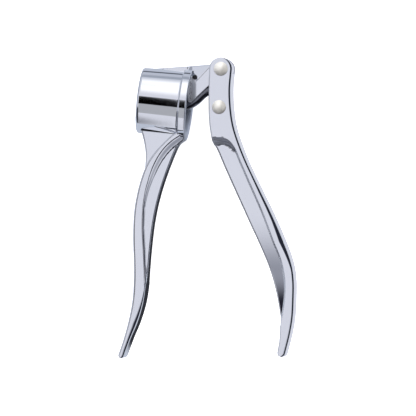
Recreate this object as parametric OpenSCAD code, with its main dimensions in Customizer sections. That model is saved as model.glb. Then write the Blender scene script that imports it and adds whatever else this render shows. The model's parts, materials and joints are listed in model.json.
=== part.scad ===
// Garlic press, part open and lying on its side.
// The pivot axis is vertical (+Z). The handles point along -Y and the cup's axis runs close to X.
// Everything is laid out from the centre of the main pivot and moved to the part's origin last.

/* [Cup] */
// Tilt of the cup's axis below the horizontal, towards the mouth
cup_tilt = 6; // [4:0.5:8]
// Length of the cup from the mouth face to the outlet face
cup_length = 28.6; // [27:0.1:30]
// Outer radius of the cup at the outlet end
outlet_r = 18.75; // [18.5:0.05:19]
// Outer radius of the cup beside the mouth flange
cup_r = 19.4; // [19:0.05:19.8]
// Radius of the mouth flange
flange_r = 20.4; // [20:0.1:21]
// Thickness of the mouth flange
flange_t = 4.4; // [3.5:0.1:5.5]
// Radius of the bore
bore_r = 15.8; // [15.5:0.1:16]
// Height of the outer corner rounding at the outlet
outlet_round = 1.4; // [1:0.1:1.6]

/* [Sieve] */
// Radius of the seat for the sieve plate
seat_r = 16.5; // [16.3:0.1:16.8]
// Depth of the seat from the outlet face
seat_depth = 2.8; // [2.6:0.1:3.2]
// Thickness of the sieve plate
sieve_t = 1.2; // [1:0.1:1.4]
// Radius of one sieve hole
sieve_hole_r = 0.85; // [0.7:0.05:1]
// Number of hole rings round the middle hole
sieve_rings = 4; // [3:1:4]
// Spacing of the hole rings
sieve_pitch = 3.1; // [2.8:0.1:3.3]
// Thickness of the retaining ring
ring_t = 1; // [0.8:0.1:1.1]
// Radial width of the retaining ring
ring_w = 1.6; // [1.3:0.1:1.9]

/* [Handles] */
// Depth of the handle caps and the clevis along the pivot axis
handle_depth = 21; // [20:0.5:22]
// Depth of the recessed inner panels
panel_depth = 13; // [12:0.5:14]
// Depth of the web that joins the cup to its handle
web_depth = 19.2; // [18:0.2:19.8]
// Radius of the rounded clevis top
clevis_r = 6.6; // [6.5:0.05:6.7]
// Width of the gap between the clevis cheeks
clevis_gap = 14.6; // [14.4:0.1:14.8]
// Thickness of the wall that closes the back of the clevis
clevis_back = 2.2; // [2:0.1:2.4]

/* [Yoke] */
// Width of the tongue that enters the clevis
tongue_w = 12.6; // [12.4:0.1:12.8]
// Thickness of each tongue wall
tongue_wall = 2; // [1.8:0.1:2.2]
// Radius of the tongue's eye round the main rivet
eye_r = 6.2; // [6:0.1:6.4]
// Thickness of the roof over the tongue
roof_t = 2.4; // [2:0.1:3]

/* [Plunger] */
// Radius of the plunger head
head_r = 14.5; // [14.3:0.1:14.6]
// Thickness of the plunger head
head_t = 4; // [3.5:0.1:4.2]
// Depth of the head's back face below the mouth
head_depth = 12; // [11.5:0.1:12.3]
// Width of the plunger arm along the pivot axis
arm_w = 7.6; // [7:0.1:7.8]
// Height of the plunger arm
arm_h = 4.8; // [4:0.1:5]
// Radius of the plunger arm's eye
arm_eye_r = 4.8; // [4.6:0.1:4.9]
// Radius of the pad where the head is screwed on
pad_r = 4.2; // [4:0.1:4.2]
// Distance of the head's centre from the cup's axis in this pose
head_offset = -0.9; // [-1:0.1:-0.8]

/* [Rivets] */
// Radius of the rivet shanks
pin_r = 2.6; // [2.4:0.1:2.8]
// Radius of the domed rivet heads
dome_r = 4; // [3.8:0.1:4.2]
// Height of the domed rivet heads
dome_h = 2.6; // [2.2:0.1:3]
// Thickness of the washers in the clevis
washer_t = 0.75; // [0.6:0.05:0.8]
// Outer radius of the washers
washer_r = 4.5; // [4.2:0.1:4.7]

/* [Hidden] */
$fn = 96;
eps = 0.01;

// Running clearance round a rivet, and the near-zero gap of a fixed fit
running = 0.06;
fixed = 0.02;

// Places in the plane across the pivots, from the main pivot's centre
mouth = [-18.8, -20.4];
plunger_pivot = [-1, -21.7];
half_depth = handle_depth / 2;
half_panel = panel_depth / 2;
half_gap = clevis_gap / 2;
half_tongue = tongue_w / 2;

// Outer edge of the press handle, from the clevis down to the tip
press_outer = [
    [6.6, 0], [5.6, -11.5], [6.1, -23], [7.7, -33], [10.9, -43], [15.6, -54.5],
    [22.6, -69], [29, -82], [36.1, -98], [40.2, -110], [41.7, -120], [41.7, -130],
    [41.1, -141], [39.4, -151], [36.7, -161.7]
];
// Inner edge of the press handle, from the clevis down to the tip
press_inner = [
    [-6.6, 0], [-7, -15], [-6.7, -29], [-5.4, -39], [-4.5, -42.3], [-2.3, -46.2],
    [2, -56.3], [10.9, -76], [16.8, -89], [21.2, -98.5], [26.1, -110], [29.8, -121.5],
    [32.2, -133], [33.6, -144], [33.4, -153], [32.2, -160.6]
];
// Edge of the press handle's inner panel, from the step below the clevis down to the tip
press_ridge = [
    [-5.4, -39], [0.9, -38.9], [5, -40.8], [8.5, -45.5], [12.2, -54.2], [17.6, -66.5],
    [24.4, -82], [30.3, -97.6], [34.6, -108.5], [36.7, -119], [36.8, -129], [35.6, -138],
    [33.7, -145.5]
];
press_tip = [34.5, -161.2];
press_tip_r = 2.2;

// Outer edge of the hopper handle, from the flange down to the tip
hopper_outer = [
    [-23.4, -31.5], [-27.6, -37], [-32.1, -41.5], [-37.3, -46.8], [-42.4, -54.3], [-46.1, -64],
    [-48.7, -75], [-49.9, -85], [-50.2, -97], [-49.8, -109], [-49.8, -120], [-50.5, -131],
    [-52.5, -142], [-55.6, -153.5], [-58.6, -162.3]
];
// Inner edge of the hopper handle, from the flange down to the tip
hopper_inner = [
    [-21.2, -39.5], [-25.2, -43.6], [-29.7, -54], [-34, -66], [-37.3, -78], [-39.5, -90],
    [-41.1, -104], [-42.1, -116], [-43.1, -124.5], [-44.7, -134], [-47.7, -144], [-51.7, -153.5],
    [-55.4, -163.3]
];
// Edge of the hopper handle's inner panel, from the flange down to where it runs out
hopper_ridge = [
    [-22.2, -36.5], [-30, -42.2], [-35, -48], [-38.8, -55], [-41.6, -63],
    [-43.6, -71], [-44.8, -80], [-45.1, -91], [-44.5, -103], [-44, -114],
    [-43.8, -122], [-44, -128]
];
hopper_tip = [-57, -162.8];
hopper_tip_r = 1.7;

// Left edge of the web that carries the cup
web_edge = [[-44.6, -32], [-44.3, -37], [-43.2, -42.5], [-42.6, -49], [-42.9, -56]];

// Middle line of the plunger arm, from its pivot to the head
arm_line = [
    plunger_pivot, [-2.3, -17.3], [-4.6, -13], [-7.6, -12], [-11.2, -14.3],
    [-15.4, -18.1], [-19.6, -20.4], [-23.5, -20.8], [-27.3, -20.4]
];

// Side outline of the tongue: where its roof and its sloping lower edge begin and end
roof_start = [-38.5, 0.6];
roof_end = [-5.6, 2.7];
tongue_low = [-17.2, -18.9];
tongue_high = [-2.9, -5.5];
tongue_side = [roof_start, roof_end, [0, 0], tongue_high, tongue_low, [-19, -15], [-36, -8]];
// Half width of the roof at its left end, and where the tongue reaches its full width
roof_half = 1.2;
full_width_x = -17;
tongue_right = 2;
// Side outline of the hollow between the tongue's walls
hollow_side = [
    [-21, -26], [-21, roof_start[1] - roof_t], [-8, roof_end[1] - roof_t], [2, 2], [3, -26]
];
// Each flare: where it meets the flange's rim, its rounding there, and where it leaves the tongue
flare_rim = [[-18.3, -18.4, 19.2], [-18.3, -13.5, 17.6], [-17.4, -7, 13.6]];
flare_r = 0.9;
flare_x = -15.7;
flare_ys = [-17.1, -6.5];
// Side outline of the clevis slot, which leaves a wall at the back
slot_side = [
    [-12, 12], [12, 12], [12, 4], [7.5, -1.5], [5.7 - clevis_back, -6.5],
    [5.9 - clevis_back, -17], [5.2 - clevis_back, -24.5], [-1, -28], [-12, -30]
];
// Heights along the handles where an inner panel starts or runs out
hopper_panel_end = -127;
press_panel_start = -39;
press_panel_end = -145.5;
web_end = -56;

// Points of a smooth curve through the given ones, steps to each span
function blend(a, b, c, d, t) =
    0.5 * (2 * b + (c - a) * t + (2 * a - 5 * b + 4 * c - d) * t * t
    + (3 * b - a - 3 * c + d) * t * t * t);
function smooth(p, steps = 4) = let (n = len(p) - 1) concat(
    [for (i = [0:n - 1], k = [0:steps - 1])
        blend(p[max(i - 1, 0)], p[i], p[i + 1], p[min(i + 2, n)], k / steps)],
    [p[n]]);
function reversed(p) = [for (i = [len(p) - 1:-1:0]) p[i]];
function side(p, i) =
    let (d = p[min(i + 1, len(p) - 1)] - p[max(i - 1, 0)])
    [-d[1], d[0]] / norm(d);
function thick_line(p, h) = concat(
    [for (i = [0:len(p) - 1]) p[i] + side(p, i) * h],
    reversed([for (i = [0:len(p) - 1]) p[i] - side(p, i) * h]));
function lowest(p, axis) = min([for (q = p) q[axis]]);
function highest(p, axis) = max([for (q = p) q[axis]]);

// The part's origin: the middle of its box, on the surface that it lies on
x_low = min(lowest(smooth(hopper_outer), 0), hopper_tip[0] - hopper_tip_r);
x_high = highest(smooth(press_outer), 0);
y_low = min(hopper_tip[1] - hopper_tip_r, press_tip[1] - press_tip_r);
origin = [(x_low + x_high) / 2, (y_low + clevis_r) / 2, -flange_r];

module placed() {
    translate(-origin) children();
}
// A flat outline made into a slab, centred on the handles' middle plane
module slab(depth) {
    translate([0, 0, -depth / 2]) linear_extrude(depth) children();
}
// Turns +Z into the way from the mouth to the outlet, starting at the mouth's centre
module into_cup(depth = 0) {
    translate([mouth[0], mouth[1], 0]) rotate([0, 0, -cup_tilt]) rotate([0, -90, 0])
        translate([0, 0, depth]) children();
}
module at_head(depth) {
    into_cup(depth) translate([0, head_offset, 0]) children();
}
module at_plunger_pivot() {
    translate([plunger_pivot[0], plunger_pivot[1], 0]) children();
}
module round_tip(at, r) {
    translate(at) circle(r, $fn = 40);
}

// ---- Hopper side ----
module cup_outside() {
    rim = 0.8;
    into_cup() rotate_extrude($fn = 144) polygon(concat(
        [[0, 0], [flange_r - rim, 0]],
        [for (a = [15:15:90]) [flange_r - rim + rim * sin(a), rim - rim * cos(a)]],
        [[flange_r, flange_t - rim], [flange_r - 0.4, flange_t], [cup_r, flange_t + 0.1]],
        [for (a = [0:15:90]) [outlet_r - outlet_round + outlet_round * cos(a),
            cup_length - outlet_round + outlet_round * sin(a)]],
        [[0, cup_length]]));
}
module cup_inside() {
    into_cup(-1) cylinder(r = bore_r, h = cup_length + 2, $fn = 144);
    into_cup(cup_length - seat_depth) cylinder(r = seat_r, h = seat_depth + 1, $fn = 144);
}
module tongue() {
    tall = 60;
    difference() {
        union() {
            intersection() {
                slab(tongue_w) polygon(tongue_side);
                rotate([90, 0, 0]) slab(tall) polygon([[roof_start[0], -roof_half],
                    [full_width_x, -half_tongue], [tongue_right, -half_tongue],
                    [tongue_right, half_tongue], [full_width_x, half_tongue],
                    [roof_start[0], roof_half]]);
            }
            translate([0, 0, -half_tongue]) cylinder(r = eye_r, h = tongue_w);
        }
        difference() {
            slab(tongue_w - 2 * tongue_wall) polygon(hollow_side);
            translate([0, 0, -half_tongue]) cylinder(r = eye_r, h = tongue_w);
        }
    }
}
// Each tongue wall spreads out to the rim of the flange
module flare(away) {
    hull() {
        for (p = flare_rim)
            translate([p[0], p[1], away * p[2]]) rotate([0, 90, 0])
                cylinder(r = flare_r, h = 1, center = true, $fn = 32);
        for (y = flare_ys)
            translate([flare_x, y, away * (half_tongue - tongue_wall / 2)])
                cube([1, 1.4, tongue_wall], center = true);
    }
}
module hopper_handle() {
    cap = concat(smooth(hopper_outer), [hopper_tip], reversed(smooth(hopper_ridge)));
    lower_cap = concat([hopper_ridge[len(hopper_ridge) - 1]],
        [for (p = smooth(hopper_inner)) if (p[1] < hopper_panel_end) p], [hopper_tip]);
    panel = concat(smooth(hopper_ridge), reversed([for (p = smooth(hopper_inner))
        if (p[1] > hopper_panel_end) p]));
    web = concat([[-24, -30]], smooth(web_edge), [for (p = reversed(smooth(hopper_outer)))
        if (p[1] > web_end) p + [1.5, -1.5]]);
    color("lightsteelblue") placed() difference() {
        union() {
            cup_outside();
            tongue();
            for (away = [-1, 1]) flare(away);
            slab(handle_depth) union() {
                polygon(cap);
                polygon(lower_cap);
                round_tip(hopper_tip, hopper_tip_r);
            }
            slab(panel_depth) polygon(panel);
            slab(web_depth) polygon(web);
        }
        cup_inside();
        translate([0, 0, -half_depth]) cylinder(r = pin_r + running, h = handle_depth);
    }
}
module sieve_plate() {
    color("gainsboro") placed() into_cup(cup_length - seat_depth) difference() {
        cylinder(r = seat_r - fixed, h = sieve_t, $fn = 144);
        translate([0, 0, -1]) cylinder(r = sieve_hole_r, h = sieve_t + 2, $fn = 20);
        for (ring = [1:sieve_rings], k = [0:6 * ring - 1])
            rotate(k * 60 / ring) translate([ring * sieve_pitch, 0, -1])
                cylinder(r = sieve_hole_r, h = sieve_t + 2, $fn = 20);
    }
}
module sieve_retaining_ring() {
    gap = 4;
    color("silver") placed() into_cup(cup_length - seat_depth + sieve_t + fixed) difference() {
        cylinder(r = seat_r - fixed, h = ring_t, $fn = 144);
        translate([0, 0, -1]) cylinder(r = seat_r - ring_w, h = ring_t + 2, $fn = 144);
        translate([-seat_r - 1, -gap / 2, -1]) cube([ring_w + 3, gap, ring_t + 2]);
    }
}

// ---- Press side ----
module clevis_slot() {
    room = 0.5;
    slab(clevis_gap) union() {
        polygon(slot_side);
        circle(eye_r + room);
        translate(plunger_pivot) circle(arm_eye_r + room);
    }
}
module press_handle() {
    full = concat(smooth(press_outer), [press_tip],
        [for (p = reversed(smooth(press_inner))) if (p[1] < press_panel_end) p],
        reversed(smooth(press_ridge)),
        [for (p = reversed(smooth(press_inner))) if (p[1] > press_panel_start + 0.5) p]);
    panel = concat(smooth(press_ridge), reversed([for (p = smooth(press_inner))
        if (p[1] < press_panel_start - 0.5 && p[1] > press_panel_end) p]));
    color("lightsteelblue") placed() difference() {
        union() {
            slab(handle_depth) union() {
                circle(clevis_r);
                polygon(full);
                round_tip(press_tip, press_tip_r);
            }
            slab(panel_depth) polygon(panel);
        }
        clevis_slot();
        for (at = [[0, 0], plunger_pivot])
            translate([at[0], at[1], -half_depth - 1])
                cylinder(r = pin_r + fixed, h = handle_depth + 2);
    }
}

// ---- Rivets and washers, about their own axis ----
dome_fit = 1;
module dome() {
    sphere_r = (dome_r * dome_r + dome_h * dome_h) / (2 * dome_h);
    full_angle = asin(dome_r / sphere_r);
    rotate_extrude() polygon(concat([[0, 0]], [for (k = [8:-1:0]) let (a = full_angle * k / 8)
        [sphere_r * sin(a), dome_h - sphere_r + sphere_r * cos(a)]]));
}
module rivet() {
    color("antiquewhite") {
        translate([0, 0, -half_depth - dome_fit])
            cylinder(r = pin_r, h = handle_depth + dome_fit + eps);
        translate([0, 0, half_depth]) dome();
    }
}
module rivet_cap() {
    color("antiquewhite") translate([0, 0, -half_depth]) mirror([0, 0, 1]) difference() {
        dome();
        translate([0, 0, -1]) cylinder(r = pin_r + fixed, h = dome_fit + 1 + fixed);
    }
}
module washer(away) {
    lift = half_gap - washer_t - fixed;
    color("gainsboro") translate([0, 0, away > 0 ? lift : -lift - washer_t]) difference() {
        cylinder(r = washer_r, h = washer_t);
        translate([0, 0, -1]) cylinder(r = pin_r + running, h = washer_t + 2);
    }
}
module main_rivet() {
    placed() rivet();
}
module main_rivet_cap() {
    placed() rivet_cap();
}
module main_washer_near() {
    placed() washer(1);
}
module main_washer_far() {
    placed() washer(-1);
}
module plunger_rivet() {
    placed() at_plunger_pivot() rivet();
}
module plunger_rivet_cap() {
    placed() at_plunger_pivot() rivet_cap();
}
module plunger_washer_near() {
    placed() at_plunger_pivot() washer(1);
}
module plunger_washer_far() {
    placed() at_plunger_pivot() washer(-1);
}

// ---- Plunger ----
boss_h = 2.5;
boss_r = 3.5;
pad_t = 2.5;
pad_depth = head_depth - boss_h - pad_t;
screw_r = 1.6;
screw_head_r = 3.1;
screw_head_h = 1.8;
cone_h = 1.5;
cross_l = 3.4;
cross_w = 0.7;
module plunger_arm() {
    color("dimgray") placed() difference() {
        union() {
            slab(arm_w) polygon(thick_line(smooth(arm_line), arm_h / 2));
            at_plunger_pivot() translate([0, 0, -half_tongue + 0.1])
                cylinder(r = arm_eye_r, h = tongue_w - 0.2);
            at_head(pad_depth) cylinder(r = pad_r, h = pad_t);
        }
        at_plunger_pivot() translate([0, 0, -half_tongue - 1])
            cylinder(r = pin_r + running, h = tongue_w + 2);
        at_head(pad_depth - 1) cylinder(r = screw_r + fixed, h = pad_t + 2, $fn = 48);
    }
}
module plunger_head() {
    edge = 0.8;
    color("lightsteelblue") placed() at_head(head_depth) difference() {
        rotate_extrude($fn = 144) polygon([[0, -boss_h + fixed], [boss_r, -boss_h + fixed],
            [boss_r, 0], [head_r - edge, 0], [head_r, edge], [head_r, head_t - edge],
            [head_r - edge, head_t], [0, head_t]]);
        translate([0, 0, -boss_h - 1])
            cylinder(r = screw_r + running, h = boss_h + head_t + 2, $fn = 48);
        translate([0, 0, head_t - screw_head_h - 0.1]) rotate_extrude($fn = 48)
            polygon([[0, 0], [screw_r, 0], [screw_head_r + fixed, cone_h],
                [screw_head_r + fixed, head_t], [0, head_t]]);
    }
}
module plunger_head_screw() {
    shank = boss_h + pad_t + head_t - 1;
    color("silver") placed() at_head(head_depth) difference() {
        union() {
            translate([0, 0, -boss_h - pad_t]) cylinder(r = screw_r, h = shank, $fn = 48);
            translate([0, 0, head_t - screw_head_h - 0.05]) rotate_extrude($fn = 48)
                polygon([[0, 0], [screw_r, 0], [screw_head_r, cone_h],
                    [screw_head_r, screw_head_h], [0, screw_head_h]]);
        }
        for (turn = [0, 90])
            translate([0, 0, head_t]) rotate(turn)
                cube([cross_l, cross_w, screw_head_h], center = true);
    }
}

hopper_handle();
sieve_plate();
sieve_retaining_ring();
press_handle();
main_rivet();
main_rivet_cap();
main_washer_near();
main_washer_far();
plunger_rivet();
plunger_rivet_cap();
plunger_arm();
plunger_head();
plunger_head_screw();
plunger_washer_near();
plunger_washer_far();
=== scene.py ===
import json
import math

import bmesh
import bpy
import numpy as np
from mathutils import Matrix, Vector

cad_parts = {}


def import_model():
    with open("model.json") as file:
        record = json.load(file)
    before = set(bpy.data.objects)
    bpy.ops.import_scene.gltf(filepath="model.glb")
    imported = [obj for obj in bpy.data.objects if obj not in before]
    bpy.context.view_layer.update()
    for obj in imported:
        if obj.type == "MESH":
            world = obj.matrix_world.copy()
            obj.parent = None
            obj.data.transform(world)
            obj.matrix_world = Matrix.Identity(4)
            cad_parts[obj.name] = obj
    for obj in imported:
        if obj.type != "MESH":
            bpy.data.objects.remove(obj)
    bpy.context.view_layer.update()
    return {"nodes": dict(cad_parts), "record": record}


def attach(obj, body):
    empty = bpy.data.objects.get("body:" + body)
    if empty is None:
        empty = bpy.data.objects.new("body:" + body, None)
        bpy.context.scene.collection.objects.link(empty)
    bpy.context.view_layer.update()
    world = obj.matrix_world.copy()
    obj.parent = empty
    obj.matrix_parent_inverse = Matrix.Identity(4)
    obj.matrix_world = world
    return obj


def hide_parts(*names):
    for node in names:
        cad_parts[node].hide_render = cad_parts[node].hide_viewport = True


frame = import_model()

MM = 0.001

# ---- Driving dimensions: millimetres, with places measured from the main pivot ----
# Half depths along the pivots
CAP_HALF = 10.5
PANEL_HALF = 6.5
WEB_HALF = 9.6
SLOT_HALF = 7.3
TONGUE_HALF = 6.3
CAVITY_HALF = 4.3
ARM_HALF = 3.8

# Pivots, eyes, rivets and the arm
CLEVIS_R = 6.6
EYE_R = 6.2
PIN_R = 2.6
RUNNING_GAP = 0.06
DOME_R = 4.0
DOME_H = 2.6
CAP_HOLE_DEPTH = 0.95
SHANK_IN_CAP = 0.9
ARM_THICK = 4.8
ARM_EYE_R = 4.8
HEAD_OFFSET = -0.9

# The cup: a round wall that leads from the mouth's flange to the sieve's seat
CUP_TILT = math.radians(6)
CUP_LENGTH = 28.6
OUTLET_R = 18.75
CUP_R = 19.4
FLANGE_R = 20.4
FLANGE_T = 4.4
BORE_R = 15.8
SEAT_R = 16.5
SEAT_DEPTH = 2.8
MOUTH = np.array([-18.8, -20.4])
CUP_DIR = np.array([math.cos(CUP_TILT), -math.sin(CUP_TILT)])
CUP_UP = np.array([math.sin(CUP_TILT), math.cos(CUP_TILT)])

# The edges of the press handle, down to its tip. The ridge parts its cap from its sunken panel.
PRESS_OUTER = [
    (6.6, 0), (5.6, -11.5), (6.1, -23), (7.7, -33), (10.9, -43), (15.6, -54.5),
    (22.6, -69), (29, -82), (36.1, -98), (40.2, -110), (41.7, -120), (41.7, -130),
    (41.1, -141), (39.4, -151), (36.7, -161.7)]
PRESS_INNER = [
    (-6.6, 0), (-7, -15), (-6.7, -29), (-5.4, -39), (-4.5, -42.3), (-2.3, -46.2),
    (2, -56.3), (10.9, -76), (16.8, -89), (21.2, -98.5), (26.1, -110), (29.8, -121.5),
    (32.2, -133), (33.6, -144), (33.4, -153), (32.2, -160.6)]
PRESS_RIDGE = [
    (-9, -39.2), (-5.4, -39), (0.9, -38.9), (5, -40.8), (8.5, -45.5), (12.2, -54.2),
    (17.6, -66.5), (24.4, -82), (30.3, -97.6), (34.6, -108.5), (36.7, -119), (36.8, -129),
    (35.6, -138), (33.9, -145.5), (32.5, -149)]
# Where painted shade covers the step at the top of the press panel: its upper limit, and the corner where
# it ends
STEP_TOP = -38.6
STEP_END = (7.5, -47)

# The same for the left handle, which is one casting with the cup
HOPPER_OUTER = [
    (-24.2, -35.7), (-27.8, -37.4), (-32.1, -41.3), (-37.3, -46.8), (-42.4, -54.3), (-46.1, -64),
    (-48.7, -75), (-49.9, -85), (-50.2, -97), (-49.8, -109), (-49.8, -120), (-50.5, -131),
    (-52.5, -142), (-55.6, -153.5), (-58.6, -162.3)]
HOPPER_INNER = [
    (-20.7, -36.8), (-21.4, -40.2), (-25.2, -43.7), (-29.7, -54), (-34, -66), (-37.3, -78),
    (-39.5, -90), (-41.1, -104), (-42.1, -116), (-43.1, -124.5), (-44.7, -134), (-47.7, -144),
    (-51.7, -153.5), (-55.4, -163.3)]
HOPPER_RIDGE = [
    (-20, -34.9), (-22.8, -37), (-30, -42.2), (-35, -48), (-38.8, -55), (-41.6, -63),
    (-43.6, -71), (-44.8, -80), (-45.1, -91), (-44.5, -103), (-44, -114),
    (-43.8, -122), (-43.4, -127), (-42.5, -132)]

# The web between cup and handle, with the joint line where it leaves the cup's side
WEB_EDGE = [(-46, -34.4), (-45, -37.4), (-43.8, -42.5), (-43, -49), (-43.5, -57)]
WEB_HIDDEN = [(-24.5, -36.6), (-28.5, -40.3), (-33, -44.6), (-38, -50.2), (-42, -57)]
WEB_CUP_R = 19.1
JOINT_W = 0.8
JOINT_DEPTH = 0.5

# The yoke: its roof and lower edge, and the root that hides in the cup's wall at ROOT_R
ROOF_START = (-38.5, 0.6)
ROOF_END = (-5.6, 2.7)
YOKE_LOW = (-17.2, -18.9)
YOKE_HIGH = (-2.9, -5.5)
ROOT_X = -18.3
ROOT_R = 17.0
ROOT_STEEPNESS = 2.2
# Above its crease the yoke's side leans in, as far as the eye
CREASE_START = (-13.4, -5.8)
CREASE_END = (-7.6, 0.4)
CREASE_STOP = -4.2
ROOF_FALL = 0.42
ROOF_HALF = 2.2
# Below its top the yoke's side flares out to the flange, round an arc
FLARE_START = -14.6
FLARE_DEPTH = 3.3
FLARE_GROWTH = 13.5
FLARE_TOP = -4.8
FLARE_FADE = 1.6
# The small pit in the corner between yoke and flange
SPOT = (-15.2, -4.6)
SPOT_R = 1.35
SPOT_DEPTH = 2.2


def joint_place(name):
    """The joint's place at rest, in metres."""
    joint = next(j for j in frame["record"]["behaviour"]["joints"] if j["name"] == name)
    return np.array(joint["pos_m"])


PIVOT = joint_place("press_hinge")
PLUNGER_PIVOT = (joint_place("plunger_hinge") - PIVOT)[:2] / MM
ARM_LINE = [
    tuple(PLUNGER_PIVOT), (-2.3, -17.3), (-4.6, -13), (-7.6, -12), (-11.2, -14.3),
    (-15.4, -18.1), (-19.6, -20.4), (-23.5, -20.8), (-27.3, -20.4)]


# ---- Curves ----
def smooth(points, steps=12):
    """A Catmull-Rom curve through the points."""
    knots = np.array(points, float)
    last = len(knots) - 1
    out = []
    for i in range(last):
        a, b, c, d = knots[max(i - 1, 0)], knots[i], knots[i + 1], knots[min(i + 2, last)]
        for k in range(steps):
            t = k / steps
            out.append(0.5 * (2 * b + (c - a) * t + (2 * a - 5 * b + 4 * c - d) * t * t
                              + (3 * b - a - 3 * c + d) * t ** 3))
    out.append(knots[last])
    return np.array(out)


def spaced(curve, count):
    """The curve again, as count points at even distances."""
    run = np.concatenate([[0], np.cumsum(np.linalg.norm(np.diff(curve, axis=0), axis=1))])
    at = np.linspace(0, run[-1], count)
    return np.stack([np.interp(at, run, curve[:, k]) for k in range(2)], axis=1)


def inside(points, outline):
    """Which points lie inside the outline, by counting crossings."""
    x, y = points[:, 0], points[:, 1]
    hit = np.zeros(len(points), bool)
    for (x0, y0), (x1, y1) in zip(outline, np.roll(outline, -1, axis=0)):
        crosses = (y0 > y) != (y1 > y)
        with np.errstate(divide="ignore", invalid="ignore"):
            hit ^= crosses & (x < (x1 - x0) * (y - y0) / (y1 - y0) + x0)
    return hit


def distance(points, curve):
    """Each point's distance from the curve."""
    best = np.full(len(points), 1e9)
    for a, b in zip(curve[:-1], curve[1:]):
        ab = b - a
        t = np.clip(((points - a) @ ab) / max(ab @ ab, 1e-12), 0, 1)
        best = np.minimum(best, np.linalg.norm(points - a - t[:, None] * ab, axis=1))
    return best


def ease(x):
    """A smooth step from 0 to 1."""
    x = np.clip(x, 0, 1)
    return x * x * (3 - 2 * x)


# ---- Mesh making ----
SHARP_EDGE = math.radians(38)
# Half length of a cutter that goes right through
THROUGH = 12
# Radius of the smallest ring of a lathe, in place of a point on its axis
NEAR_AXIS = 0.002
# Most of a blade's width that one rounding may take
MOST_ROUND = 0.45


def to_world(points):
    """Millimetres from the main pivot to metres in the part's frame."""
    return np.asarray(points, float) * MM + PIVOT


def new_object(name, verts, faces, material):
    """A new object with one material and a cleaned mesh."""
    mesh = bpy.data.meshes.new(name)
    mesh.from_pydata([tuple(v) for v in verts], [], [tuple(f) for f in faces])
    mesh.validate()
    obj = bpy.data.objects.new(name, mesh)
    bpy.context.scene.collection.objects.link(obj)
    obj.data.materials.append(material)
    tidy_mesh(obj)
    return obj


def tidy_mesh(obj):
    """Joins doubled points, drops empty faces and shades smoothly between sharp edges."""
    mesh = obj.data
    work = bmesh.new()
    work.from_mesh(mesh)
    bmesh.ops.remove_doubles(work, verts=work.verts, dist=2e-7)
    bmesh.ops.dissolve_degenerate(work, edges=work.edges, dist=1e-7)
    bmesh.ops.recalc_face_normals(work, faces=work.faces)
    work.to_mesh(mesh)
    work.free()
    mesh.shade_smooth()
    mesh.set_sharp_from_angle(angle=SHARP_EDGE)


def ring_faces(rings, around):
    """Quads between successive closed rings of the same number of points."""
    faces = []
    for i in range(rings - 1):
        for k in range(around):
            n = (k + 1) % around
            faces.append((i * around + k, i * around + n,
                          (i + 1) * around + n, (i + 1) * around + k))
    return faces


def crossing(start, stop, curve):
    """How far along start to stop the curve crosses it, or None."""
    along = stop - start
    a, b = curve[:-1] - start, curve[1:] - start
    side_a = along[0] * a[:, 1] - along[1] * a[:, 0]
    side_b = along[0] * b[:, 1] - along[1] * b[:, 0]
    for k in np.nonzero(side_a * side_b < 0)[0]:
        t = side_a[k] / (side_a[k] - side_b[k])
        reach = (a[k] + t * (b[k] - a[k])) @ along / (along @ along)
        if 0 < reach < 1:
            return reach
    return None


def track_places(outer, inner, track):
    """How far across each station the track runs, from 0 to 1, or None if it crosses no station."""
    found = [(n, crossing(*ends, track)) for n, ends in enumerate(zip(outer, inner))]
    found = [pair for pair in found if pair[1] is not None]
    if not found:
        return None
    return np.interp(range(len(outer)), *zip(*found))


def crowded(first, last, columns, middle, band):
    """Columns between first and last, two thirds of them over the band just past the middle."""
    crowd = columns * 2 // 3
    lead, least = 0.2, 0.02
    low = np.clip(middle - lead, first + least, last - 2 * least)
    high = np.clip(low + band * 1.15 + 0.5, low + least, last - least)
    sides = columns - 2 - crowd
    return np.concatenate([np.linspace(first, low, sides // 2 + 1)[1:],
                           np.linspace(low, high, crowd + 1)[1:],
                           np.linspace(high, last, sides - sides // 2)[1:]])


def blade(name, outer, inner, height, material, outer_round=0.9, inner_round=0.7,
          columns=36, crown=0.0, wall_steps=6, track=None, band=None):
    """A solid between two edges, alike on both sides of the middle plane, with rounded edges.

    height gives the half depth at each point, and the roundings may be functions of Y.
    Crown bulges the outer wall outwards. Columns gather along the track, over band(point) mm."""
    arc = np.radians(np.linspace(0, 90, 9))
    places = None if track is None else track_places(outer, inner, track)
    loops = []
    for n, (start, stop) in enumerate(zip(outer, inner)):
        width = max(np.linalg.norm(stop - start), 1e-3)
        along = (stop - start) / width
        outer_r = outer_round(start[1]) if callable(outer_round) else outer_round
        inner_r = inner_round(stop[1]) if callable(inner_round) else inner_round
        outer_r, inner_r = min(outer_r, MOST_ROUND * width), min(inner_r, MOST_ROUND * width)
        if places is None:
            across = np.linspace(outer_r, width - inner_r, columns)[1:-1]
        else:
            reach = band(start + along * places[n] * width)
            across = crowded(outer_r, width - inner_r, columns, places[n] * width, reach)
        offsets = np.concatenate([outer_r * (1 - np.cos(arc)), across,
                                  (width - inner_r * (1 - np.cos(arc)))[::-1]])
        drops = np.concatenate([outer_r * (1 - np.sin(arc)), np.zeros(len(across)),
                                (inner_r * (1 - np.sin(arc)))[::-1]])
        flat = start + offsets[:, None] * along
        half = height(flat) - drops
        near = np.column_stack([flat, half])
        far = near[::-1] * (1, 1, -1)
        part = np.linspace(1, -1, wall_steps + 2)[1:-1]
        inner_wall = np.column_stack([np.tile(flat[-1], (wall_steps, 1)), half[-1] * part])
        bulge = crown * (1 - part ** 2)
        outer_wall = np.column_stack([flat[0] - bulge[:, None] * along, -half[0] * part])
        loops.append(np.concatenate([near, inner_wall, far, outer_wall]))
    around = len(loops[0])
    verts = np.concatenate(loops)
    faces = ring_faces(len(loops), around)
    faces.append(tuple(range(around))[::-1])
    faces.append(tuple((len(loops) - 1) * around + k for k in range(around)))
    return new_object(name, to_world(verts), faces, material)


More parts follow.
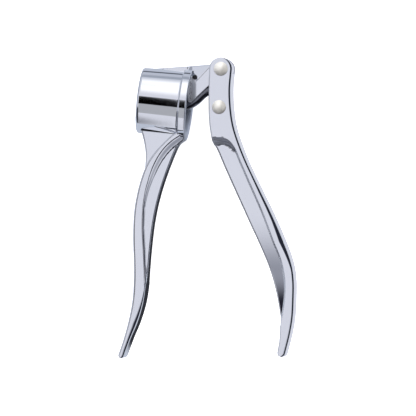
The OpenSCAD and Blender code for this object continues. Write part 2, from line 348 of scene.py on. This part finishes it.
def lathe(name, profile, place, material, segments=160, closed=True):
    """Turns (radius, distance) points about an axis. place maps (distance, across, up) to mm.

    closed also joins the profile's last point to its first."""
    verts = []
    for k in range(segments):
        a = 2 * math.pi * k / segments
        verts += [place(s, r * math.cos(a), r * math.sin(a)) for r, s in profile]
    around = len(profile)
    faces = []
    for k in range(segments):
        n = (k + 1) % segments
        for j in range(around if closed else around - 1):
            m = (j + 1) % around
            faces.append((k * around + j, n * around + j, n * around + m, k * around + m))
    return new_object(name, to_world(verts), faces, material)


def in_cup(s, across, up):
    """A place s deep in the cup, across along the pivots and up along the cup's face."""
    flat = MOUTH - CUP_DIR * s + CUP_UP * up
    return (flat[0], flat[1], across)


def upright(centre, base):
    """A place along a pivot axis."""
    def place(s, across, up):
        return (centre[0] + across, centre[1] + up, base + s)
    return place


def prism(name, outline, half, material):
    """A plain extrusion, used as a cutter."""
    n = len(outline)
    verts = [(x, y, half) for x, y in outline] + [(x, y, -half) for x, y in outline]
    faces = [tuple(range(n)), tuple(range(2 * n - 1, n - 1, -1))]
    faces += [(k, k + n, (k + 1) % n + n, (k + 1) % n) for k in range(n)]
    return new_object(name, to_world(verts), faces, material)


def circle(centre, radius, start=0, stop=360, count=64):
    """Points on a circle, or on an arc of it with both its ends."""
    angles = np.radians(np.linspace(start, stop, count, endpoint=stop - start < 360))
    return [(centre[0] + radius * math.cos(a), centre[1] + radius * math.sin(a)) for a in angles]


def cut(obj, cutters):
    """Takes the cutters away from the object and deletes them."""
    for cutter in cutters:
        modifier = obj.modifiers.new("cut", "BOOLEAN")
        modifier.operation = "DIFFERENCE"
        modifier.solver = "EXACT"
        modifier.object = cutter
        bpy.context.view_layer.objects.active = obj
        bpy.ops.object.modifier_apply(modifier=modifier.name)
        bpy.data.objects.remove(cutter)
    tidy_mesh(obj)


def finish_faces(obj, material, chosen):
    """Gives the material to each face whose middle, in mm from the main pivot, is chosen."""
    obj.data.materials.append(material)
    index = len(obj.data.materials) - 1
    for face in obj.data.polygons:
        if chosen(*((np.array(face.center) - PIVOT) / MM)):
            face.material_index = index


def joined(name, objects):
    """One object out of several."""
    bpy.ops.object.select_all(action="DESELECT")
    for obj in objects:
        obj.select_set(True)
    bpy.context.view_layer.objects.active = objects[0]
    bpy.ops.object.join()
    objects[0].name = name
    objects[0].data.name = name
    return objects[0]


# ---- Materials ----
def metal(name, colour, rough, spread, bump=0.0, grain=(1, 1, 1), scale=60.0, lustre=1.0):
    """A bare metal whose polish varies in patches, with a fine surface texture.

    Below 1, lustre gives it a milky satin skin, and at 0 it is dull throughout."""
    mat = bpy.data.materials.new(name)
    mat.use_nodes = True
    nodes, links = mat.node_tree.nodes, mat.node_tree.links
    shader = nodes["Principled BSDF"]
    shader.inputs["Metallic"].default_value = lustre
    coords = nodes.new("ShaderNodeTexCoord")
    mapping = nodes.new("ShaderNodeMapping")
    mapping.inputs["Scale"].default_value = grain
    links.new(coords.outputs["Object"], mapping.inputs["Vector"])
    patches = nodes.new("ShaderNodeTexNoise")
    patches.inputs["Scale"].default_value = scale
    patches.inputs["Detail"].default_value = 4
    links.new(mapping.outputs["Vector"], patches.inputs["Vector"])
    polish = nodes.new("ShaderNodeMapRange")
    polish.inputs["From Min"].default_value = 0.3
    polish.inputs["From Max"].default_value = 0.7
    polish.inputs["To Min"].default_value = rough - spread
    polish.inputs["To Max"].default_value = rough + spread
    links.new(patches.outputs["Fac"], polish.inputs["Value"])
    links.new(polish.outputs["Result"], shader.inputs["Roughness"])
    tint = nodes.new("ShaderNodeMix")
    tint.data_type = "RGBA"
    tint.inputs["A"].default_value = (*colour, 1)
    tint.inputs["B"].default_value = (*[min(1, c * 1.05) for c in colour], 1)
    links.new(patches.outputs["Fac"], tint.inputs["Factor"])
    links.new(tint.outputs["Result"], shader.inputs["Base Color"])
    if bump:
        fine = nodes.new("ShaderNodeTexNoise")
        fine.inputs["Scale"].default_value = scale * 12
        fine.inputs["Detail"].default_value = 3
        links.new(mapping.outputs["Vector"], fine.inputs["Vector"])
        relief = nodes.new("ShaderNodeBump")
        relief.inputs["Strength"].default_value = bump
        relief.inputs["Distance"].default_value = 0.00005
        links.new(fine.outputs["Fac"], relief.inputs["Height"])
        links.new(relief.outputs["Normal"], shader.inputs["Normal"])
    return mat


CHROME = metal("bright_chrome", (0.88, 0.895, 0.93), 0.05, 0.02, bump=0.02)
SATIN = metal("satin_inside", (0.52, 0.57, 0.67), 0.42, 0.05, bump=0.1, lustre=0.55)
# Painted shade: a darker copy of the chrome for the concave flare where the yoke meets the flange
CORNER_SHADE = metal("satin_corner", (0.62, 0.64, 0.70), 0.3, 0.04, bump=0.05, lustre=0.6)
# Painted shade: a darker, duller copy of the chrome for the step at the top of the press panel, standing
# in for the dark reflections there
STEP_SHADE = metal("satin_step", (0.44, 0.46, 0.52), 0.34, 0.04, bump=0.05, lustre=0.75)
NICKEL = metal("satin_nickel", (0.93, 0.90, 0.83), 0.33, 0.03, bump=0.03, scale=400, lustre=0.4)
# Near black for the plunger arm, to match the dark band it shows between the clevis cheeks; the real arm's
# finish is not known
DARK_ARM = metal("arm_steel", (0.20, 0.205, 0.23), 0.14, 0.03, bump=0.03)
SIEVE = metal("sieve_stainless", (0.70, 0.71, 0.73), 0.28, 0.06, bump=0.3, grain=(1, 12, 1))
SPRING = metal("spring_stainless", (0.60, 0.61, 0.63), 0.25, 0.05, bump=0.2)
WASHER = metal("washer_stainless", (0.66, 0.66, 0.67), 0.3, 0.06, bump=0.3, scale=200)
SCREW = metal("screw_stainless", (0.64, 0.65, 0.67), 0.24, 0.05, bump=0.2, scale=200)
# Painted shade: near black for the unlit inside of the small pit and of the web's joint groove, where the
# light doesn't reach
BLACK_SHADE = metal("hole_inside", (0.012, 0.012, 0.015), 0.6, 0.1, bump=0.2, lustre=0.0)


# ---- Hopper side ----
def ledge(ridge, panel_side, spread, steps):
    """The half depth of a handle: its cap stands proud of its panel, with small steps between.

    panel_side is an outline round the panel. The steps start at the ridge and take up
    spread(points) mm of the panel, each with its start, its width and its share of the fall."""
    curve = smooth(ridge)

    def height(points):
        sign = np.where(inside(points, panel_side), -1.0, 1.0)
        down = -sign * distance(points, curve) / spread(points)
        fall = sum(ease((down - start) / wide) * share for start, wide, share in steps)
        return CAP_HALF - (CAP_HALF - PANEL_HALF) * fall
    return height


def tip_stations(outer, inner, count=9):
    """Adds stations that close the handle with a half circle between its edges' ends."""
    across = (outer[-1] - inner[-1]) / 2
    down = np.array([across[1], -across[0]])
    if down[1] > 0:
        down = -down
    centre = (outer[-1] + inner[-1]) / 2
    angles = np.radians(np.linspace(0, 88, count)[1:])
    more_outer = [centre + across * math.cos(a) + down * math.sin(a) for a in angles]
    more_inner = [centre - across * math.cos(a) + down * math.sin(a) for a in angles]
    return np.vstack([outer, more_outer]), np.vstack([inner, more_inner])


def cup():
    """The round cup with its flange: bright outside, satin within and on the flange's face."""
    rim, corner, fillet, edge = 0.5, 1.4, 0.35, 0.25
    draft = 0.1

    def arc(radius, depth, r, start, stop, count=8):
        return circle((radius, depth), r, start, stop, count)
    wall_start = FLANGE_T + 0.5
    wall_length = CUP_LENGTH - corner - FLANGE_T - 0.5
    seat = CUP_LENGTH - SEAT_DEPTH
    profile = [(BORE_R, 1.0), (BORE_R + 0.5, 0.3), (BORE_R + 1.1, 0.0)]
    profile += arc(FLANGE_R - rim, rim, rim, -90, 0)
    profile += [(FLANGE_R - draft * t, rim + (FLANGE_T - 2 * rim) * t)
                for t in (0.03, 0.1, 0.3, 0.5, 0.7, 0.9, 0.97)]
    profile += arc(FLANGE_R - rim - draft, FLANGE_T - rim, rim, 0, 75)
    profile += arc(CUP_R + fillet, FLANGE_T + 0.45, fillet, 240, 180, 5)
    profile += [(CUP_R - (CUP_R - OUTLET_R) * t, wall_start + wall_length * t)
                for t in np.linspace(0.02, 0.98, 12)]
    profile += arc(OUTLET_R - corner, CUP_LENGTH - corner, corner, 0, 90, 10)
    profile += [(SEAT_R + edge, CUP_LENGTH), (SEAT_R, CUP_LENGTH - edge)]
    profile += [(SEAT_R, seat), (BORE_R, seat)]
    profile += [(BORE_R, s) for s in np.linspace(seat - 3, 4, 5)]
    obj = lathe("cup", profile, in_cup, CHROME, segments=192)
    obj.data.materials.append(SATIN)
    axis = Vector((*CUP_DIR, 0))
    centre = Vector(to_world([(*MOUTH, 0)])[0])
    satin_r, satin_depth = SEAT_R + 0.1, 0.42
    for face in obj.data.polygons:
        offset = face.center - centre
        depth = -offset.dot(axis)
        radius = (offset + axis * depth).length
        if radius < satin_r * MM or depth < satin_depth * MM:
            face.material_index = 1
    return obj


def cup_axis_y(x):
    """The height of the cup's axis at x."""
    return MOUTH[1] + (MOUTH[0] - x) * math.tan(CUP_TILT)


def past_cup(x, y):
    """How far below the cup's side a place on the web's face lies."""
    return (cup_axis_y(x) - y) * math.cos(CUP_TILT) - math.sqrt(WEB_CUP_R ** 2 - WEB_HALF ** 2)


def web():
    """The flat web between the cup and its handle, with painted shade, near black, in the joint groove
    along the cup.
    """
    stations = 90
    outer = spaced(smooth(WEB_EDGE), stations)
    inner = spaced(smooth(WEB_HIDDEN), stations)

    def height(points):
        gap = past_cup(points[:, 0], points[:, 1])
        groove = np.clip(1 - ((gap - JOINT_W / 2) / (JOINT_W / 2)) ** 2, 0, 1)
        return WEB_HALF - JOINT_DEPTH * groove

    def in_joint(x, y, z):
        return 0.1 * JOINT_W < past_cup(x, y) < 0.9 * JOINT_W and abs(z) > WEB_HALF - 1
    obj = blade("web", outer, inner, height, CHROME, outer_round=0.7, columns=48)
    # Painted shade in the joint groove
    finish_faces(obj, BLACK_SHADE, in_joint)
    return obj


def hopper_grip():
    """The left handle. Its step falls sharply at the ridge and again at the panel's edge."""
    stations = 222
    outer = spaced(smooth(HOPPER_OUTER), stations)
    inner = spaced(smooth(HOPPER_INNER), stations)
    outer, inner = tip_stations(outer, inner)
    ridge = smooth(HOPPER_RIDGE)
    edge = smooth(HOPPER_INNER)
    panel_side = np.vstack([ridge, [(-38, -132)], (edge[edge[:, 1] > -130] + (6, 0))[::-1]])

    def spread(points):
        """The step is wide at the top of the handle and narrows below it."""
        return 1.2 + 2.6 * ease((points[..., 1] + 80) / 36)
    steps = [(0, 0.1, 0.42), (0.1, 0.78, 0.06), (0.88, 0.1, 0.52)]
    ledges = ledge(HOPPER_RIDGE, panel_side, spread, steps)
    panel_end, panel_fade = -128, 14

    def height(points):
        """The panel runs out into the cap above the tip."""
        return CAP_HALF - (CAP_HALF - ledges(points)) * ease((points[:, 1] - panel_end) / panel_fade)

    def inner_round(y):
        return np.interp(y, [-165, -157, -148, -136, -126, -60], [1.2, 1.8, 2.4, 1.6, 0.8, 0.7])
    return blade("hopper_grip", outer, inner, height, CHROME, outer_round=0.8,
                 inner_round=inner_round, columns=70, wall_steps=4, crown=0.3, track=ridge, band=spread)


def yoke_edges():
    """The yoke's top and bottom edges, with more stations over its flare and its slopes."""
    xs = np.concatenate([np.linspace(ROOF_START[0], -18.6, 28), np.linspace(-18.4, -13.6, 56),
                         np.linspace(-13.4, 5.4, 64), EYE_R * np.cos(np.radians(np.linspace(28, 3, 12)))])
    roof_slope = (ROOF_END[1] - ROOF_START[1]) / (ROOF_END[0] - ROOF_START[0])
    wall_slope = (YOKE_HIGH[1] - YOKE_LOW[1]) / (YOKE_HIGH[0] - YOKE_LOW[0])
    top, bottom = [], []
    for x in xs:
        eye = math.sqrt(max(EYE_R ** 2 - x * x, 0)) if abs(x) < EYE_R else 0
        roof = ROOF_START[1] + roof_slope * (x - ROOF_START[0])
        top.append((x, eye if x > ROOF_END[0] else roof))
        in_wall = cup_axis_y(x) + ROOT_R
        if x < ROOT_X:
            bottom.append((x, in_wall))
        elif x < YOKE_LOW[0]:
            t = (x - ROOT_X) / (YOKE_LOW[0] - ROOT_X)
            bottom.append((x, in_wall + (YOKE_LOW[1] - in_wall) * ease(np.array(t * ROOT_STEEPNESS))))
        elif x < YOKE_HIGH[0]:
            bottom.append((x, YOKE_LOW[1] + wall_slope * (x - YOKE_LOW[0])))
        else:
            bottom.append((x, -eye))
    return np.array(top), np.array(bottom)


def yoke_height(points):
    """The yoke's half depth: a crease, a flare towards the flange and a small pit."""
    x, y = points[:, 0], points[:, 1]
    plan = np.interp(x, [ROOF_START[0], -17, 0], [1.2, TONGUE_HALF, TONGUE_HALF])
    run = np.array(CREASE_END) - CREASE_START
    run /= np.linalg.norm(run)
    above = run[0] * (y - CREASE_START[1]) - run[1] * (x - CREASE_START[0])
    facet = np.maximum(plan - ROOF_FALL * np.maximum(above, 0), np.minimum(plan, ROOF_HALF))
    facet = np.where(x > CREASE_STOP, plan, facet)
    bend = np.clip((FLARE_START - x) / FLARE_DEPTH, 0, 1)
    rim = np.sqrt(np.maximum((FLANGE_R - 0.5) ** 2 - (y - cup_axis_y(x)) ** 2, 1))
    grow = np.where(x > MOUTH[0] + 0.1, FLARE_GROWTH * (1 - np.sqrt(1 - bend ** 2)), 0)
    grow = grow * (1 - ease((y - FLARE_TOP) / FLARE_FADE))
    half = np.minimum(facet + grow, np.maximum(rim, facet))
    gap = np.hypot(x - SPOT[0], y - SPOT[1])
    pit = np.where(gap < SPOT_R, SPOT_DEPTH * np.sqrt(np.clip(1 - (gap / SPOT_R) ** 4, 0, 1)), 0)
    return np.where(pit > 0, np.maximum(half - pit, CAVITY_HALF + 0.4), half)


def yoke():
    """The hollow arm that carries the cup's eye on the main pivot."""
    top, bottom = yoke_edges()
    obj = blade("yoke", top, bottom, yoke_height, CHROME, outer_round=0.6, inner_round=0.5, columns=80)
    cavity = [(-21, -27), (-21, -1.6), (-9, 0.1), (-7, 0)]
    cavity += circle((0, 0), EYE_R, 165, 300, 40) + [(3.4, -27)]
    hole = circle((0, 0), PIN_R + RUNNING_GAP)
    cut(obj, [prism("cavity", cavity, CAVITY_HALF, CHROME), prism("hole", hole, THROUGH, CHROME)])

    def in_pit(x, y, z):
        return math.hypot(x - SPOT[0], y - SPOT[1]) < 0.97 * SPOT_R and abs(z) > 2

    def in_shaded_corner(x, y, z):
        flared = x < FLARE_START + 0.3 and y < SPOT[1] and abs(z) > TONGUE_HALF - 0.6
        return flared and not in_pit(x, y, z)
    # Painted shade, near black, inside the pit
    finish_faces(obj, BLACK_SHADE, in_pit)
    # Painted shade on the yoke's flare next to the flange
    finish_faces(obj, CORNER_SHADE, in_shaded_corner)
    return obj


def hopper_casting():
    """One casting: cup, yoke, web and left handle."""
    obj = joined("hopper_casting", [cup(), yoke(), web(), hopper_grip()])
    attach(obj, "hopper")
    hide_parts("hopper_handle")


# ---- Press side ----
def press_casting():
    """One casting: the clevis and the right handle, whose step falls in three arcs."""
    rise = np.radians(np.linspace(3, 84, 16))
    head_outer = np.column_stack([CLEVIS_R * np.sin(rise), CLEVIS_R * np.cos(rise)])
    head_inner = head_outer * (-1, 1)
    stations = 400
    outer = np.vstack([head_outer, spaced(smooth(PRESS_OUTER), stations)])
    inner = np.vstack([head_inner, spaced(smooth(PRESS_INNER), stations)])
    outer, inner = tip_stations(outer, inner)
    ridge = smooth(PRESS_RIDGE)
    edge = smooth(PRESS_INNER)
    below_step = edge[(edge[:, 1] < -40) & (edge[:, 1] > -149)]
    panel_side = np.vstack([ridge, (below_step + (-6, 0))[::-1]])

    def spread(points):
        """The step is widest at the top, where its arcs show."""
        return np.interp(points[..., 0], [-5, -1, 2, 5, 8], [4.8, 4.5, 3.7, 2.5, 1.4])
    steps = [(0, 0.2, 0.32), (0.2, 0.2, 0.04), (0.4, 0.2, 0.3), (0.6, 0.2, 0.04), (0.8, 0.2, 0.3)]
    ledges = ledge(PRESS_RIDGE, panel_side, spread, steps)
    sink, sink_top, sink_run = 3.9, -60, 78

    def height(points):
        """The panel also sinks away towards its lower end."""
        half = ledges(points)
        low = np.clip((sink_top - points[:, 1]) / sink_run, 0, 1.05)
        return half - sink * low ** 3 * (CAP_HALF - half) / (CAP_HALF - PANEL_HALF)

    def outer_round(y):
        return np.interp(y, [-165, -114, -107, -98, -86, -60], [1.3, 1.4, 2.4, 3.6, 2.4, 1.5])
    obj = blade("press_casting", outer, inner, height, CHROME, outer_round=outer_round,
                inner_round=0.6, columns=84, crown=0.3, track=ridge, band=spread)
    slot = [(-12, 12), (12, 12), (12, 4), (7.5, -1.5), (3.5, -6.5), (3.7, -17),
            (3.0, -24.5), (-1, -28), (-12, -30)]
    cut(obj, [prism("slot", slot, SLOT_HALF, CHROME),
              prism("eye_room", circle((0, 0), EYE_R + 0.5), SLOT_HALF, CHROME),
              prism("arm_room", circle(PLUNGER_PIVOT, ARM_EYE_R + 0.5), SLOT_HALF, CHROME)])

    def in_painted_step_shade(x, y, z):
        below_cap = PANEL_HALF + 0.06 < abs(z) < CAP_HALF - 0.02
        return below_cap and x < STEP_END[0] and STEP_END[1] < y < STEP_TOP
    # Painted shade: the step's faces between panel and cap get the darker chrome
    finish_faces(obj, STEP_SHADE, in_painted_step_shade)
    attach(obj, "press")
    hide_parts("press_handle")


def dome_profile(count=18):
    """Outline of a domed head, from the foot of its edge to its top."""
    ball = (DOME_R ** 2 + DOME_H ** 2) / (2 * DOME_H)
    edge_angle = math.asin(DOME_R / ball)
    return [(ball * math.sin(edge_angle * k / count),
             DOME_H - ball + ball * math.cos(edge_angle * k / count))
            for k in range(count, 0, -1)] + [(NEAR_AXIS, DOME_H)]


def rivets(pivot, rivet_node, cap_node):
    """A domed rivet through both cheeks, and the domed cap on its far end."""
    shank_end = -2 * CAP_HALF - SHANK_IN_CAP
    shank = [(NEAR_AXIS, shank_end), (PIN_R, shank_end), (PIN_R, -0.01)]
    near = lathe(rivet_node + "_body", shank + dome_profile(), upright(pivot, CAP_HALF), NICKEL,
                 segments=72, closed=False)

    def downwards(s, across, up):
        return (pivot[0] + across, pivot[1] + up, -CAP_HALF - s)
    hole = [(PIN_R + 0.02, CAP_HOLE_DEPTH), (PIN_R + 0.02, 0)]
    far = lathe(cap_node + "_body", hole + dome_profile(), downwards, NICKEL,
                segments=72, closed=False)
    for obj, node in ((near, rivet_node), (far, cap_node)):
        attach(obj, "press")
        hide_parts(node)


# ---- Plunger ----
def plunger_arm():
    """The arched arm: a bar, the hub on the lower rivet and the pad that holds the head."""
    line = spaced(smooth(ARM_LINE), 90)
    along = np.gradient(line, axis=0)
    along /= np.linalg.norm(along, axis=1)[:, None]
    side = np.column_stack([-along[:, 1], along[:, 0]]) * ARM_THICK / 2
    bar = blade("arm_bar", line + side, line - side, lambda p: np.full(len(p), ARM_HALF), DARK_ARM,
                outer_round=2.1, inner_round=1.2, columns=8)
    half = TONGUE_HALF - 0.1
    hub_edge = 0.5
    hub = lathe("arm_hub", [(PIN_R + RUNNING_GAP, -half), (ARM_EYE_R - hub_edge, -half),
                            (ARM_EYE_R, hub_edge - half), (ARM_EYE_R, half - hub_edge),
                            (ARM_EYE_R - hub_edge, half), (PIN_R + RUNNING_GAP, half)],
                upright(PLUNGER_PIVOT, 0), DARK_ARM, segments=72)
    cut(bar, [prism("arm_hole", circle(PLUNGER_PIVOT, PIN_R + RUNNING_GAP + 0.6), THROUGH, DARK_ARM)])
    pad_r, pad_start, pad_end = 4.2, 7.0, 9.5
    screw_r = 1.7
    pad = lathe("arm_pad", [(screw_r, pad_start), (pad_r - 0.8, pad_start), (pad_r - 0.2, pad_start + 0.3),
                            (pad_r, pad_start + 0.9), (pad_r, pad_end), (screw_r, pad_end)],
                lambda s, across, up: in_cup(s, across, up + HEAD_OFFSET), DARK_ARM, segments=72)
    obj = joined("plunger_arm_body", [bar, hub, pad])
    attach(obj, "plunger")
    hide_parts("plunger_arm")


def finish_cad_nodes():
    """The nodes whose CAD shape is right keep it and get their metals."""
    finishes = {
        "sieve_plate": SIEVE, "sieve_retaining_ring": SPRING, "plunger_head": CHROME,
        "plunger_head_screw": SCREW, "main_washer_near": WASHER, "main_washer_far": WASHER,
        "plunger_washer_near": WASHER, "plunger_washer_far": WASHER}
    for node, material in finishes.items():
        obj = frame["nodes"][node]
        for place in obj.material_slots:
            place.material = material


# ---- Stage ----
# What the world shows: a colour, then its ranges in degrees, each as low, high and softness. The
# first range turns lengthwise from +Z towards +Y, the second sideways from there towards +X.
TENT = (0.72, 0.73, 0.80)
CEILING = (1.2, 1.2, 1.22)
BENEATH = (0.015, 0.015, 0.025)
ZONES = [
    ((0.58, 0.61, 0.69), (40, 120, 12), None),
    (CEILING, (32, 60, 14), (-7.2, 14, 0.8)),
    (CEILING, (50, 79, 12), (-4.6, 14, 0.8)),
    ((0.02, 0.022, 0.035), None, (16, 90, 4)),
    ((0.34, 0.36, 0.42), None, (-80, -42, 4)),
    ((0.42, 0.43, 0.46), (-44, -6, 1), (-18, -8.2, 0.5)),
    ((0.0, 0.0, 0.0), (-11, 15, 1), (-18, -8.2, 0.5)),
    ((0.30, 0.31, 0.36), (-60, -5, 4), (-7.4, 30, 0.6)),
    (BENEATH, (-100, -46, 3), (-10.3, 30, 0.6)),
    (BENEATH, (-50, -13, 3), (-7.4, 30, 0.6)),
    ((0.05, 0.052, 0.065), (-110, -24, 5), (-62, -15.2, 0.5))]

# What shiny things mirror of the floor: a colour, then a range along Y and one along X, each as
# low, high and softness in metres, and how far the range in X leans with Y.
FLOOR_TOP = (0.52, 0.56, 0.65)
BEYOND = 9
FLOOR_STRIPS = [
    ((0.68, 0.70, 0.78), None, (0.0, BEYOND, 0.015), 0),
    ((0.10, 0.11, 0.14), (PIVOT[1] + 0.036, PIVOT[1] + 0.052, 0.004), None, 0),
    # Painted shadow: a dark strip along the left handle's inner side, its contact shadow, which the
    # handle's shiny wall mirrors
    ((0.03, 0.032, 0.04), (-0.082, 0.034, 0.004), (-0.0303, -0.0163, 0.002), -0.21),
    ((0.06, 0.065, 0.08), (-0.05, 0.034, 0.01), (-0.012, 0.022, 0.006), 0.4),
    ((0.52, 0.55, 0.63), (PIVOT[1] + 0.062, PIVOT[1] + BEYOND, 0.012), None, 0),
    ((0.36, 0.39, 0.46), (PIVOT[1] + 0.14, PIVOT[1] + BEYOND, 0.04), None, 0),
    ((0.03, 0.033, 0.045), None, (0.13, BEYOND, 0.01), 0)]

FLOOR_DROP = 0.0002
CAMERA_TARGET = (-8.3, -78.95, 0)


def math_node(tree, kind, *inputs):
    """A Math node's output. Each input is another node's output or a number."""
    node = tree.nodes.new("ShaderNodeMath")
    node.operation = kind
    for socket, value in zip(node.inputs, inputs):
        if isinstance(value, bpy.types.NodeSocket):
            tree.links.new(value, socket)
        else:
            socket.default_value = value
    return node.outputs[0]


def soft_window(tree, value, low, high, soft):
    """1 while value lies between low and high, with soft edges."""
    def step(start, stop):
        node = tree.nodes.new("ShaderNodeMapRange")
        node.interpolation_type = "SMOOTHSTEP"
        node.inputs["From Min"].default_value = start
        node.inputs["From Max"].default_value = stop
        tree.links.new(value, node.inputs["Value"])
        return node.outputs["Result"]
    return math_node(tree, "SUBTRACT", step(low - soft, low + soft), step(high - soft, high + soft))


def paint(tree, under, colour, masks):
    """The colour laid over what is under it, where the one or two masks let it show."""
    mask = masks[0] if len(masks) == 1 else math_node(tree, "MULTIPLY", *masks)
    node = tree.nodes.new("ShaderNodeMix")
    node.data_type = "RGBA"
    node.inputs["B"].default_value = (*colour, 1)
    if isinstance(under, tuple):
        node.inputs["A"].default_value = (*under, 1)
    else:
        tree.links.new(under, node.inputs["A"])
    tree.links.new(mask, node.inputs["Factor"])
    return node.outputs["Result"]


def world():
    """A pale studio tent with a white ceiling patch, and grey and black zones to the sides and below."""
    sky = bpy.data.worlds.new("studio")
    bpy.context.scene.world = sky
    sky.use_nodes = True
    tree = sky.node_tree
    coords = tree.nodes.new("ShaderNodeTexCoord")
    split = tree.nodes.new("ShaderNodeSeparateXYZ")
    tree.links.new(coords.outputs["Generated"], split.inputs[0])
    lengthwise = math_node(tree, "ARCTAN2", split.outputs["Y"], split.outputs["Z"])
    sideways = math_node(tree, "ARCSINE", split.outputs["X"])
    colour = TENT
    for zone_colour, along, across in ZONES:
        masks = [soft_window(tree, angle, *(math.radians(degrees) for degrees in limits))
                 for angle, limits in ((lengthwise, along), (sideways, across)) if limits]
        colour = paint(tree, colour, zone_colour, masks)
    background = tree.nodes["Background"]
    tree.links.new(colour, background.inputs["Color"])
    background.inputs["Strength"].default_value = 1.0


def mirrored_floor(tree):
    """The floor's colour for reflections: a grey table top with darker and paler strips, one of them a
    painted contact shadow.
    """
    coords = tree.nodes.new("ShaderNodeTexCoord")
    split = tree.nodes.new("ShaderNodeSeparateXYZ")
    tree.links.new(coords.outputs["Object"], split.inputs[0])
    colour = FLOOR_TOP
    for strip_colour, along, across, lean in FLOOR_STRIPS:
        masks = []
        if across:
            place = math_node(tree, "MULTIPLY_ADD", split.outputs["Y"], lean, split.outputs["X"])
            masks.append(soft_window(tree, place, *across))
        if along:
            masks.append(soft_window(tree, split.outputs["Y"], *along))
        colour = paint(tree, colour, strip_colour, masks)
    return colour


def floor():
    """A plain pale floor to the camera. Reflections alone see the grey table top and its strips."""
    reach = 3.0
    verts = [(-reach, -reach, 0), (reach, -reach, 0), (reach, reach, 0), (-reach, reach, 0)]
    mesh = bpy.data.meshes.new("floor")
    mesh.from_pydata(verts, [], [(0, 1, 2, 3)])
    obj = bpy.data.objects.new("floor", mesh)
    bpy.context.scene.collection.objects.link(obj)
    obj.location.z = -FLOOR_DROP
    mat = bpy.data.materials.new("floor_white")
    mat.use_nodes = True
    tree = mat.node_tree
    shader = tree.nodes["Principled BSDF"]
    shader.inputs["Base Color"].default_value = (0.93, 0.93, 0.94, 1)
    shader.inputs["Roughness"].default_value = 1.0
    shader.inputs["Specular IOR Level"].default_value = 0.0
    glow = tree.nodes.new("ShaderNodeEmission")
    tree.links.new(mirrored_floor(tree), glow.inputs["Color"])
    lift = tree.nodes.new("ShaderNodeEmission")
    lift.inputs["Strength"].default_value = 0.85
    seen = tree.nodes.new("ShaderNodeAddShader")
    tree.links.new(shader.outputs["BSDF"], seen.inputs[0])
    tree.links.new(lift.outputs["Emission"], seen.inputs[1])
    path = tree.nodes.new("ShaderNodeLightPath")
    mix = tree.nodes.new("ShaderNodeMixShader")
    tree.links.new(path.outputs["Is Glossy Ray"], mix.inputs["Fac"])
    tree.links.new(seen.outputs["Shader"], mix.inputs[1])
    tree.links.new(glow.outputs["Emission"], mix.inputs[2])
    tree.links.new(mix.outputs["Shader"], tree.nodes["Material Output"].inputs["Surface"])
    obj.data.materials.append(mat)


def lights():
    """A very soft overhead light that whitens the floor and leaves no highlight."""
    lamp = bpy.data.lights.new("overhead", "SUN")
    lamp.energy = 3.2
    lamp.angle = math.radians(120)
    obj = bpy.data.objects.new("overhead", lamp)
    bpy.context.scene.collection.objects.link(obj)
    obj.visible_glossy = False
    obj.rotation_euler = (math.radians(-48), 0, 0)


def camera():
    """Looks down the pivots from a little to the press handle's side."""
    turn = math.radians(5.8)
    away = 2.4
    field = 0.2371
    towards = Vector((math.sin(turn), 0, math.cos(turn)))
    right = Vector((math.cos(turn), 0, -math.sin(turn)))
    up = Vector((0, 1, 0))
    target = Vector(PIVOT) + Vector(CAMERA_TARGET) * MM
    data = bpy.data.cameras.new("camera")
    data.sensor_width = 36
    data.lens = data.sensor_width * away / field
    data.clip_end = 20
    obj = bpy.data.objects.new("camera", data)
    bpy.context.scene.collection.objects.link(obj)
    obj.matrix_world = Matrix.Translation(target + towards * away) @ Matrix(
        (right, up, towards)).transposed().to_4x4()
    bpy.context.scene.camera = obj


bpy.context.scene.view_settings.view_transform = "Standard"
camera()
world()
floor()
lights()
hopper_casting()
press_casting()
rivets((0, 0), "main_rivet", "main_rivet_cap")
rivets(PLUNGER_PIVOT, "plunger_rivet", "plunger_rivet_cap")
plunger_arm()
finish_cad_nodes()
